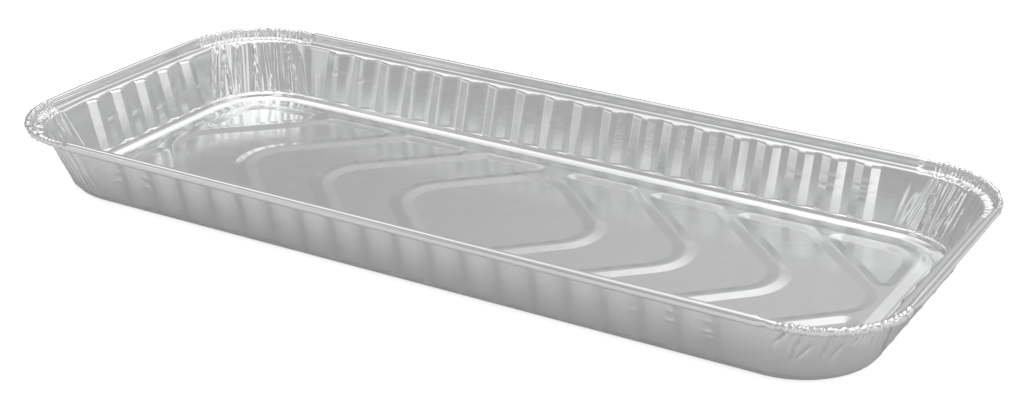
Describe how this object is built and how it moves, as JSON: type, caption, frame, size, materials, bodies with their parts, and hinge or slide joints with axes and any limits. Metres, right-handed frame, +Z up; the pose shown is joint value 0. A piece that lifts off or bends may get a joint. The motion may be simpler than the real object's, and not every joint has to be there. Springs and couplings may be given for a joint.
{
  "type": "foil cake pan",
  "caption": "Shallow oblong pan pressed from thin aluminium foil, with fluted sloping walls, gathered corners, a rolled rim and a floor stiffened by low chevron ribs.",
  "frame": {"origin": "middle of the pan's footprint, on the surface that it stands on", "axes": "+X along the length of the pan, +Y across it, +Z up out of the open top"},
  "size_m": [0.311, 0.137, 0.0245],
  "materials": {
    "foil": "bright rolled foil"
  },
  "bodies": {
    "root": {"pan": "foil"}
  },
  "joints": []
}
